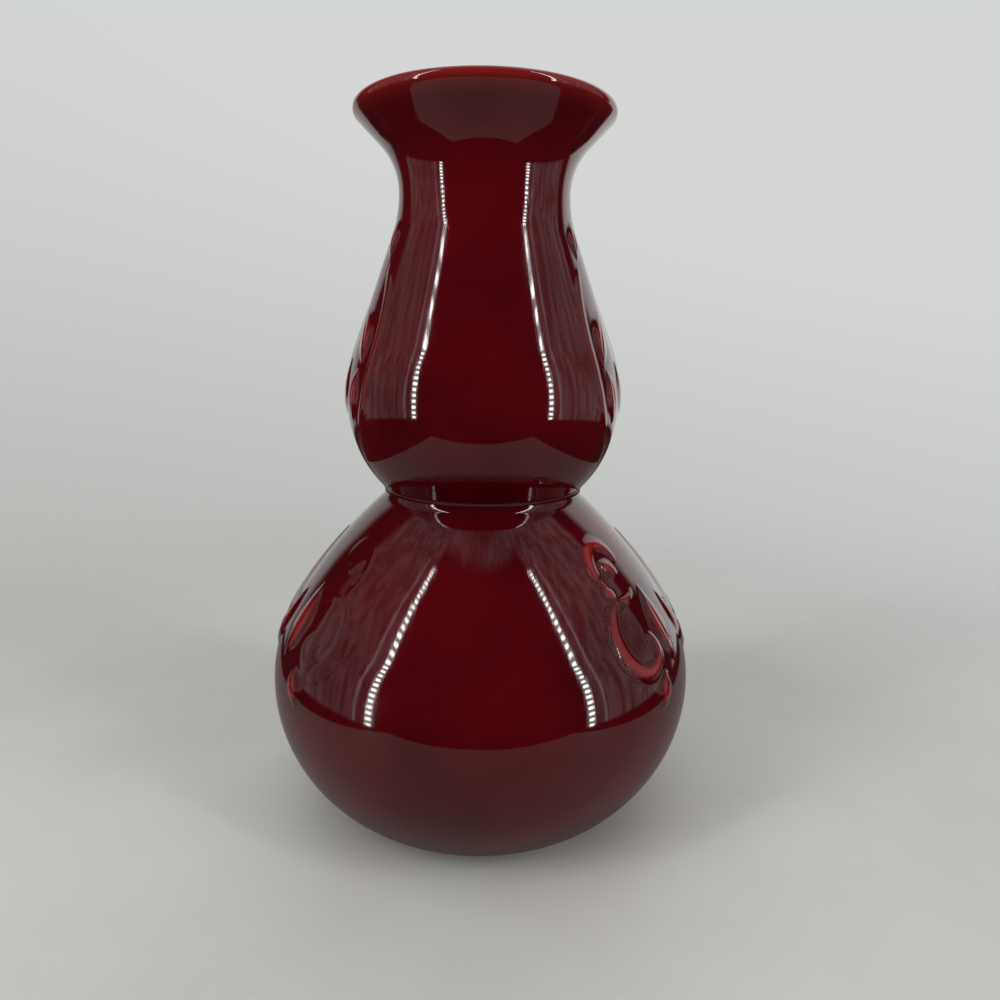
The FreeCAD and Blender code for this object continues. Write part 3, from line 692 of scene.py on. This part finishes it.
def lifted_skin_tree():
    """Moves the skin out by what is raised, and makes it as uneven as hand-finished clay.

    The bed is the face of the wall as it lies under a sprig, a little sunk.
    """
    tree = GeometryTree("lifted_skin", {"Unevenness": "NodeSocketFloat", "Bed": "NodeSocketFloat"})
    normal = tree.add("GeometryNodeInputNormal")
    position = tree.place()
    start = tree.xyz(position)[2].smooth(*UNEVEN_START)
    drift = (0 - tree.noise(position, UNEVEN_SCALE, 1.0, 0.4)) * tree.take("Unevenness") * start
    way = tree.scaled(normal, drift - tree.take("Bed"))
    bed = tree.add("ShaderNodeVectorMath", {"operation": "ADD"}, {0: position, 1: way})
    kept = tree.store(tree.given, "bed", "FLOAT_VECTOR", bed)
    offset = tree.scaled(normal, tree.named("raised") + drift)
    tree.finish(tree.add("GeometryNodeSetPosition", {}, {0: kept, "Offset": offset}))
    return tree


def turned_skin(section, sprigs):
    """The whole skin of the vase, turned and sprigged, as one mesh."""
    rows = bpy.data.meshes.new("section")
    rows.from_pydata([(place.x, 0, place.y) for place in section.points], [], [])
    section_rows = linked(bpy.data.objects.new("section", rows))
    plain = sprigs.plain.as_object("plain_lines")
    veined = sprigs.veined.as_object("veined_lines")
    skin = linked(bpy.data.objects.new("skin", bpy.data.meshes.new("skin")))
    turning = {"Section": section_rows, "Columns": COLUMNS, "Crowding": SIDE_CROWDING}
    turned_wall_tree().put_on(skin, turning)
    raise_lines = raised_lines_tree()
    places = {"Waist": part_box("waist_seam")[0].z, "Last Row": section.rows["lip"]}
    for lines, vein, share in ((plain, 0.0, PLAIN_RIDGE_SHARE), (veined, VEIN_DEPTH, 1.0)):
        reliefs = {"Lower Relief": LOWER_RELIEF * share, "Upper Relief": UPPER_RELIEF * share}
        raise_lines.put_on(skin, {"Lines": lines, "Vein": vein, **reliefs, **places})
    lifted_skin_tree().put_on(skin, {"Unevenness": UNEVENNESS, "Bed": SPRIG_BED})
    bpy.context.view_layer.update()
    graph = bpy.context.evaluated_depsgraph_get()
    mesh = bpy.data.meshes.new_from_object(skin.evaluated_get(graph))
    for thing in (skin, section_rows, plain, veined):
        bpy.data.objects.remove(thing)
    return mesh


# Parting the skin into pieces

# For each wall piece, the stretches of the section that are its skin, and the flat ends between an
# outer and an inner place of the section, with the way they face
WALLS = {
    "vase_floor": (
        [("start", "foot_inside"), ("floor_rim", "end")],
        [("floor_rim", "foot_inside", "down")],
    ),
    "foot_ring": (
        [("foot_inside", "foot_outside")],
        [("foot_outside", "foot_inside", "up")],
    ),
    "lower_bulb": (
        [("foot_outside", "waist"), ("waist_inside", "floor_rim")],
        [("foot_outside", "floor_rim", "down"), ("waist", "waist_inside", "up")],
    ),
    "waist_seam": (
        [("waist", "seam"), ("seam_inside", "waist_inside")],
        [("waist", "waist_inside", "down"), ("seam", "seam_inside", "up")],
    ),
    "upper_bulb": (
        [("seam", "bulb_end"), ("bulb_end_inside", "seam_inside")],
        [("seam", "seam_inside", "down"), ("bulb_end", "bulb_end_inside", "up")],
    ),
    "flared_neck": (
        [("bulb_end", "lip"), ("lip_inside", "bulb_end_inside")],
        [("bulb_end", "bulb_end_inside", "down"), ("lip", "lip_inside", "up")],
    ),
    "lip_roll": (
        [("lip", "lip_inside")],
        [("lip", "lip_inside", "down")],
    ),
}


def closed_piece(name, places, faces, crest, normals, skin_faces):
    """A piece whose first faces are skin with smooth normals, and whose others are flat."""
    mesh = bpy.data.meshes.new(name)
    mesh.from_pydata(places.tolist(), [], faces)
    mesh.attributes.new("crest", "FLOAT", "POINT").data.foreach_set("value", crest)
    mesh.shade_smooth()
    corners = np.zeros(len(mesh.loops), np.int32)
    mesh.loops.foreach_get("vertex_index", corners)
    corner_normals = normals[corners]
    for face in mesh.polygons[skin_faces:]:
        corner_normals[face.loop_start:face.loop_start + face.loop_total] = face.normal
    mesh.normals_split_custom_set(corner_normals.tolist())
    return linked(bpy.data.objects.new(name, mesh))


class Skin:
    """The baked skin, from which pieces are cut along rows and round sprigs.

    A point is covered where only a sprig's faces meet. The wall's face is sunk there.
    """

    def __init__(self, mesh, rows):
        self.rows = rows
        self.faces = [tuple(face.vertices) for face in mesh.polygons]
        self.row = self.read(mesh, "row", np.int32)
        self.crest = self.read(mesh, "crest", np.float32)
        sprig = self.read(mesh, "sprig", np.int32) * (self.read(mesh, "raised", np.float32) > 0)
        self.low = np.array([min(self.row[list(face)]) for face in self.faces])
        self.high = np.array([max(self.row[list(face)]) for face in self.faces])
        self.face_sprig = np.array([max(sprig[list(face)]) for face in self.faces])
        self.covered = np.ones(len(mesh.vertices), bool)
        for index in np.nonzero(self.face_sprig == 0)[0]:
            self.covered[list(self.faces[index])] = False
        self.lifted, self.lifted_normals = self.shape(mesh)
        bed = np.zeros((len(mesh.vertices), 3), np.float32)
        mesh.attributes["bed"].data.foreach_get("vector", bed.ravel())
        bed[~self.covered] = self.lifted[~self.covered]
        mesh.vertices.foreach_set("co", bed.ravel())
        mesh.update()
        self.bed, self.bed_normals = self.shape(mesh)
        self.bed_normals[~self.covered] = self.lifted_normals[~self.covered]

    @staticmethod
    def read(mesh, name, kind):
        values = np.zeros(len(mesh.vertices), kind)
        mesh.attributes[name].data.foreach_get("value", values)
        return values

    @staticmethod
    def shape(mesh):
        """Places and normals of a mesh's points."""
        places = np.zeros((len(mesh.vertices), 3), np.float32)
        mesh.vertices.foreach_get("co", places.ravel())
        normals = np.zeros((len(mesh.vertices), 3), np.float32)
        mesh.vertex_normals.foreach_get("vector", normals.ravel())
        return places, normals

    def ring(self, place):
        """The points at a place of the section, in order round the axis."""
        points = np.nonzero(self.row == self.rows[place])[0]
        angles = np.arctan2(self.bed[points, 1], self.bed[points, 0])
        return points[np.argsort(angles)]

    def wall(self, name, stretches, ends):
        """A wall piece, cut along rows and closed by flat ends."""
        faces = []
        for first, last in stretches:
            inside = (self.low >= self.rows[first]) & (self.high <= self.rows[last])
            faces += [self.faces[index] for index in np.nonzero(inside)[0]]
        skin_faces = len(faces)
        for outer_place, inner_place, facing in ends:
            outer = self.ring(outer_place)
            inner = self.ring(inner_place)
            for number in range(len(outer)):
                after = (number + 1) % len(outer)
                quad = (outer[number], outer[after], inner[after], inner[number])
                faces.append(quad if facing == "up" else quad[::-1])
        used = np.unique([vertex for face in faces for vertex in face])
        index = {vertex: number for number, vertex in enumerate(used.tolist())}
        faces = [[index[vertex] for vertex in face] for face in faces]
        normals = self.bed_normals[used]
        return closed_piece(name, self.bed[used], faces, self.crest[used], normals, skin_faces)

    def sprig(self, name, number):
        """A sprig. Its front is lifted off the wall, and its back lies in the bed."""
        faces = [self.faces[index] for index in np.nonzero(self.face_sprig == number)[0]]
        used = np.unique([vertex for face in faces for vertex in face])
        bedded = used[self.covered[used]]
        front = {vertex: place for place, vertex in enumerate(used.tolist())}
        back = dict(front)
        back.update({vertex: len(used) + place for place, vertex in enumerate(bedded.tolist())})
        shell = [[front[vertex] for vertex in face] for face in faces]
        shell += [[back[vertex] for vertex in reversed(face)] for face in faces]
        edges = {edge for face in faces for edge in zip(face, face[1:] + face[:1])}
        for first, second in sorted(edges):
            if (second, first) not in edges:
                rim = list(dict.fromkeys((front[second], front[first], back[first], back[second])))
                if len(rim) > 2:
                    shell.append(rim)
        places = np.concatenate([self.lifted[used], self.bed[bedded]])
        normals = np.concatenate([self.lifted_normals[used], self.bed_normals[bedded]])
        crest = np.concatenate([self.crest[used], self.crest[bedded]])
        return closed_piece(name, places, shell, crest, normals, len(faces))


def slot_of(node):
    if node == "foot_ring":
        return "bare_clay"
    return "red_glaze" if node in WALLS else "sprig_glaze"


def vase_pieces():
    """The vase's pieces, one for each CAD node, with their finishes."""
    section = WallSection()
    sprigs = Sprigs(section)
    skin = Skin(turned_skin(section, sprigs), section.rows)
    pieces = {node: skin.wall(f"glazed_{node}", *cuts) for node, cuts in WALLS.items()}
    for number, node in enumerate(sprigs.names, 1):
        pieces[node] = skin.sprig(f"glazed_{node}", number)
    glaze = oxblood_glaze()
    foot = foot_finish()
    for node, piece in pieces.items():
        finish = foot if node == "foot_ring" else glaze
        piece.data.materials.append(finish)
        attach(piece, "root")
        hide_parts(node)
        slot_of(node)
        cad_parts[node].data.materials.clear()
        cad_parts[node].data.materials.append(finish)


# Finishes

DEEP_RED = (0.049, 0.0006, 0.0024, 1.0)
BODY_RED = (0.106, 0.0018, 0.0050, 1.0)
BRIGHT_RED = (0.24, 0.014, 0.013, 1.0)
POOLED_RED = (0.040, 0.0006, 0.0016, 1.0)
CLAY = (0.66, 0.58, 0.47, 1.0)
CLAY_SHADE = (0.48, 0.40, 0.31, 1.0)

# Heights between which the body pales, and between which the glaze thins on the lip
PALING = (80.0 * MM, 200.0 * MM)
LIP_THINNING = (203.5 * MM, 208.5 * MM)
LIP_THINNESS = 0.8

# Distances from the middle of the crease between which the pooled colour fades
POOL_FADING = (0.3 * MM, 2.4 * MM)
POOL_STRENGTH = 0.5

# Crests between which the glaze breaks, and how far the clouds shift them
BREAKING = (0.35, 1.0)
BREAK_SHIFT = 0.35

# Values between which the clouds of a glaze or a floor rise
CLOUDS = (0.35, 0.7)

# Pinholes, as a number of cells to a metre, the spots' limits in a cell, and their strength
PINHOLE_SCALE = 210.0
PINHOLE_LIMITS = (0.03, 0.10)
PINHOLE_STRENGTH = 0.6

# The foot's glaze ends at a wandering line, and only outside the ring
LINE_WANDER = 0.9 * MM
LINE_SOFTNESS = 0.08 * MM
BARE_INSIDE = (FOOT_RADIUS - 1.2 * MM, FOOT_RADIUS - 0.6 * MM)


def new_material(name):
    """A material, its graph and the place on the object that its patterns follow."""
    material = bpy.data.materials.new(name)
    material.use_nodes = True
    graph = Graph(material.node_tree)
    return material, graph, graph.add("ShaderNodeTexCoord", {}, {}, "Object")


def glaze_colour(graph, spot):
    """Oxblood that breaks to bright red where it is thin, and darkens where it pools."""
    height = graph.xyz(spot)[2]
    cloud = graph.noise(spot, 26.0, 4.0, 0.55)
    paleness = cloud.smooth(*CLOUDS) * 0.6 + height.smooth(*PALING) * 0.4
    body = graph.mix(paleness, DEEP_RED, BODY_RED)
    crest = graph.add("ShaderNodeAttribute", {"attribute_name": "crest"}, {}, "Fac")
    ridge = (crest + (cloud - 0.5) * BREAK_SHIFT).smooth(*BREAKING)
    lip = height.smooth(*LIP_THINNING) * LIP_THINNESS
    grain = graph.noise(spot, 900.0, 2.0)
    thin = (ridge + lip).math("MINIMUM", 1.0) * (0.8 + grain * 0.4)
    broken = graph.mix(thin, body, BRIGHT_RED)
    seam_low, seam_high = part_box("waist_seam")
    crease = (seam_low.z + seam_high.z) / 2
    pool = 1 - (height - crease).math("ABSOLUTE").smooth(*POOL_FADING)
    pooled = graph.mix(pool * POOL_STRENGTH, broken, POOLED_RED)
    patches = graph.noise(spot, 95.0, 0.0).smooth(0.60, 0.68)
    pinholes = graph.specks(spot, PINHOLE_SCALE, PINHOLE_LIMITS) * patches * PINHOLE_STRENGTH
    return graph.mix(pinholes, pooled, POOLED_RED)


def glaze_bump(graph, spot):
    """Faint upright brush marks under the glaze, and its slightly rippled surface."""
    x, y, z = graph.xyz(spot)
    round_way = y.math("ARCTAN2", x) * 4.0
    brushed = graph.noise(graph.vector(round_way, z * 9.0, 0.0), 9.0, 3.0)
    ripple = graph.noise(spot, 120.0, 2.0)
    return graph.bump(brushed * 0.6 + ripple * 0.4, 0.06, 0.4 * MM)


def glaze_shader(graph, spot):
    smear = graph.noise(spot, 60.0, 5.0)
    inputs = {
        "Base Color": glaze_colour(graph, spot),
        "Roughness": 0.05 + smear.smooth(0.45, 0.8) * 0.05,
        "IOR": 1.52,
        "Coat Weight": 0.35,
        "Coat Roughness": 0.02,
        "Coat IOR": 1.5,
        "Normal": glaze_bump(graph, spot),
    }
    return graph.add("ShaderNodeBsdfPrincipled", {}, inputs)


def clay_shader(graph, spot):
    """Fired clay, sandy and a little stained."""
    sand = graph.noise(spot, 1400.0, 4.0)
    stain = graph.noise(spot, 90.0, 3.0)
    inputs = {
        "Base Color": graph.mix((sand * 0.5 + stain * 0.5).smooth(0.3, 0.7), CLAY, CLAY_SHADE),
        "Roughness": 0.8 + sand * 0.15,
        "Normal": graph.bump(sand, 0.5, 0.2 * MM),
    }
    return graph.add("ShaderNodeBsdfPrincipled", {}, inputs)


def oxblood_glaze():
    material, graph, spot = new_material("oxblood_glaze")
    graph.add("ShaderNodeOutputMaterial", {}, {"Surface": glaze_shader(graph, spot)})
    return material


def foot_finish():
    """Glaze down to an uneven line just above the table, and bare clay below it."""
    material, graph, spot = new_material("glazed_foot")
    x, y, height = graph.xyz(spot)
    line = GLAZE_LINE + (graph.noise(spot, 70.0, 3.0) - 0.5) * LINE_WANDER
    outside = (x * x + y * y).math("SQRT").smooth(*BARE_INSIDE)
    glazed = (height - line).smooth(-LINE_SOFTNESS, LINE_SOFTNESS) * outside
    shaders = {1: clay_shader(graph, spot), 2: glaze_shader(graph, spot)}
    surface = graph.add("ShaderNodeMixShader", {}, {0: glazed, **shaders})
    graph.add("ShaderNodeOutputMaterial", {}, {"Surface": surface})
    return material


# Floor, light and camera

BLACK = (0.0, 0.0, 0.0, 1.0)
WHITE = (1.0, 1.0, 1.0, 1.0)
BACK_LOW = (0.465, 0.475, 0.455, 1.0)
BACK_HIGH = (0.66, 0.675, 0.67, 1.0)
FLOOR_PALE = (0.64, 0.635, 0.61, 1.0)
FLOOR_MARK = (0.60, 0.59, 0.56, 1.0)
FLOOR_DUST = (0.25, 0.22, 0.19, 1.0)
FLOOR_REACH = 3.0

# The floor fades out between two values of 1 / (distance + FADE_OFFSET)
FADE_OFFSET = 0.25
FADE_END = (1.2, 2.6)

# The part of the floor that the glaze mirrors, and how faintly
MIRRORED_FRONT = -222.0 * MM
MIRRORED_SIDE = 190.0 * MM
MIRRORED_SIDE_END = 260.0 * MM
MIRROR_LOSS = 0.58

# Parts of the light tent. A turn is measured from the camera's side, and ahead is its cosine.
# A rise is a slope above the horizon. Each pair is a soft edge.
STRIP_AHEAD = math.cos(math.radians(57.0))
POST_AHEAD = math.cos(math.radians(66.0))
FRONT_START = (STRIP_AHEAD - 0.01, STRIP_AHEAD + 0.03)
GAP_START = (0.36, 0.42)
GAP_END = (0.62, 0.72)
BACK_START = (0.36, 0.60)
TENT_TOP = (2.0, 2.8)
TENT_DIMMING = (2.6, 5.0)
TENT_SKIRT = (-0.21, -0.17)
DARKNESS = 0.012

# Lights of the front posts: where they begin and end, how wide they are and how bright
LIGHTS_START = (-0.20, -0.17)
LIGHTS_END = (1.55, 1.7)
BAND_FADING = (0.024, 0.046)
BAND_GLOW = 1.6
DOT_FADING = (0.016, 0.026)
DOT_GLOW = 22.0
DOTS_TO_A_RISE = 15.5
LINE_FADING = (0.008, 0.018)
LINE_GLOW = 0.8


def floor_sheet(graph, spot):
    """A pale sheet with faint marks and a little dust."""
    cloud = graph.noise(spot, 9.0, 6.0, 0.6)
    clean = graph.mix(cloud.smooth(*CLOUDS), FLOOR_PALE, FLOOR_MARK)
    patches = graph.noise(spot, 16.0, 1.0).smooth(0.62, 0.66)
    dust = graph.specks(spot, 75.0, (0.02, 0.06)) * patches * 0.7
    inputs = {
        "Base Color": graph.mix(dust, clean, FLOOR_DUST),
        "Roughness": 0.5,
        "Normal": graph.bump(graph.noise(spot, 700.0, 2.0), 0.05, 0.1 * MM),
    }
    return graph.add("ShaderNodeBsdfPrincipled", {}, inputs)


def floor_cut(graph, spot):
    """1 where the floor has faded into the background, or isn't mirrored in the glaze."""
    x, y, _ = graph.xyz(spot)
    distance = (x * x + y * y).math("SQRT")
    faded = 1 - (1 / (distance + FADE_OFFSET)).smooth(*FADE_END)
    glossy = graph.add("ShaderNodeLightPath", {}, {}, "Is Glossy Ray")
    beside = (x.math("ABSOLUTE") > MIRRORED_SIDE) * (y < MIRRORED_SIDE_END)
    lost = (y < MIRRORED_FRONT).math("MAXIMUM", beside).math("MAXIMUM", MIRROR_LOSS)
    return faded.math("MAXIMUM", lost * glossy)


def pale_floor():
    """A pale sheet that fades into the background behind the vase."""
    mesh = bpy.data.meshes.new("floor")
    corners = ((-1, -1), (1, -1), (1, 1), (-1, 1))
    mesh.from_pydata([(x * FLOOR_REACH, y * FLOOR_REACH, 0) for x, y in corners], [], [(0, 1, 2, 3)])
    floor = linked(bpy.data.objects.new("floor", mesh))
    material, graph, spot = new_material("pale_floor")
    clear = graph.add("ShaderNodeBsdfTransparent")
    shaders = {1: floor_sheet(graph, spot), 2: clear}
    surface = graph.add("ShaderNodeMixShader", {}, {0: floor_cut(graph, spot), **shaders})
    graph.add("ShaderNodeOutputMaterial", {}, {"Surface": surface})
    mesh.materials.append(material)


def tent_walls(graph, x, ahead, rise):
    """Streaked cloth at the sides and a pale back, with a dark gap at each side and a dark front."""
    behind = 0 - ahead
    below_top = 1 - rise.smooth(*TENT_TOP)
    front = ahead.smooth(*FRONT_START) * below_top
    gap = behind.smooth(*GAP_START) * (1 - (x * 0.1 + behind).smooth(*GAP_END)) * below_top
    dark = front.math("MAXIMUM", gap).math("MAXIMUM", 1 - rise.smooth(*TENT_SKIRT))
    folds = graph.noise(graph.vector(ahead * 14.0, x * 14.0, rise * 0.5), 1.1, 4.0, 0.6)
    cloth = (0.45 + folds.smooth(0.35, 0.68) * 1.1) * (0.26 + x * 0.03)
    back = behind.smooth(*BACK_START)
    walls = cloth * (1 - back) + back * (0.64 + x * 0.3)
    dimmed = walls * (1 - rise.smooth(*TENT_DIMMING) * 0.6)
    return dimmed * (1 - dark) + dark * DARKNESS


def post_lights(ahead, rise):
    """A row of small lights up each front post, on a fainter band, with a thin line beside it."""
    away = (ahead - STRIP_AHEAD).math("ABSOLUTE")
    wave = (rise * (DOTS_TO_A_RISE * 2 * math.pi)).math("SINE") * 0.5 + 0.5
    band = (1 - away.smooth(*BAND_FADING)) * BAND_GLOW
    dots = (1 - away.smooth(*DOT_FADING)) * wave.smooth(0.35, 0.75) * DOT_GLOW
    line = (1 - (ahead - POST_AHEAD).math("ABSOLUTE").smooth(*LINE_FADING)) * LINE_GLOW
    return (band + dots + line) * rise.smooth(*LIGHTS_START) * (1 - rise.smooth(*LIGHTS_END))


def studio_world():
    """A light tent that is open towards the camera. The camera itself sees a plain backdrop."""
    world = bpy.data.worlds.new("studio")
    bpy.context.scene.world = world
    world.use_nodes = True
    graph = Graph(world.node_tree)
    x, y, z = graph.xyz(graph.add("ShaderNodeTexCoord", {}, {}, "Generated"))
    level = (x * x + y * y).math("SQRT").math("MAXIMUM", 0.001)
    ahead = 0 - y / level
    rise = z / level
    tent = graph.mix(tent_walls(graph, x, ahead, rise) + post_lights(ahead, rise), BLACK, WHITE)
    tent.socket.node.clamp_factor = False
    backdrop = graph.mix(z.smooth(-0.42, 0.36) + (x + 0.3) * 0.4, BACK_LOW, BACK_HIGH)
    seen = graph.add("ShaderNodeLightPath", {}, {}, "Is Camera Ray")
    inputs = {"Color": graph.mix(seen, tent, backdrop), "Strength": 1.0}
    light = graph.add("ShaderNodeBackground", {}, inputs)
    graph.add("ShaderNodeOutputWorld", {}, {"Surface": light})


def soft_lamp(name, place, target, size, power):
    """A lamp whose own shape isn't seen or mirrored."""
    lamp = bpy.data.lights.new(name, "AREA")
    lamp.shape = "RECTANGLE"
    lamp.size, lamp.size_y = size
    lamp.energy = power
    thing = linked(bpy.data.objects.new(name, lamp))
    facing = (Vector(target) - Vector(place)).to_track_quat("-Z", "Y")
    thing.matrix_world = Matrix.Translation(place) @ facing.to_matrix().to_4x4()
    thing.visible_camera = False
    thing.visible_glossy = False


def lamps():
    soft_lamp("top_lamp", place=(-0.30, -0.45, 1.10), target=(0, 0, 0.05), size=(1.1, 1.1), power=5.0)
    for name, x, power in (("left_lamp", -0.55, 1.4), ("right_lamp", 0.55, 1.3)):
        soft_lamp(name, place=(x, -0.36, 0.28), target=(0, 0, 0.02), size=(0.25, 0.5), power=power)


# The photograph's view
CAMERA_PLACE = (2.69 * MM, -239.8 * MM, 144.84 * MM)
CAMERA_RIGHT = (0.99989, -0.00906, 0.01162)
CAMERA_AHEAD = (0.01120, 0.97968, -0.20026)
CAMERA_LENS = 27.957
CAMERA_SENSOR = 36.0


def photo_camera():
    camera = bpy.data.cameras.new("camera")
    camera.lens = CAMERA_LENS
    camera.sensor_width = CAMERA_SENSOR
    camera.clip_start = 10.0 * MM
    thing = linked(bpy.data.objects.new("camera", camera))
    ahead = Vector(CAMERA_AHEAD).normalized()
    right = Vector(CAMERA_RIGHT)
    right = (right - ahead * right.dot(ahead)).normalized()
    turn = Matrix((right, right.cross(ahead), -ahead)).transposed()
    thing.matrix_world = Matrix.Translation(CAMERA_PLACE) @ turn.to_4x4()
    bpy.context.scene.camera = thing


vase_pieces()
pale_floor()
studio_world()
lamps()
photo_camera()
bpy.context.scene.view_settings.view_transform = "Standard"
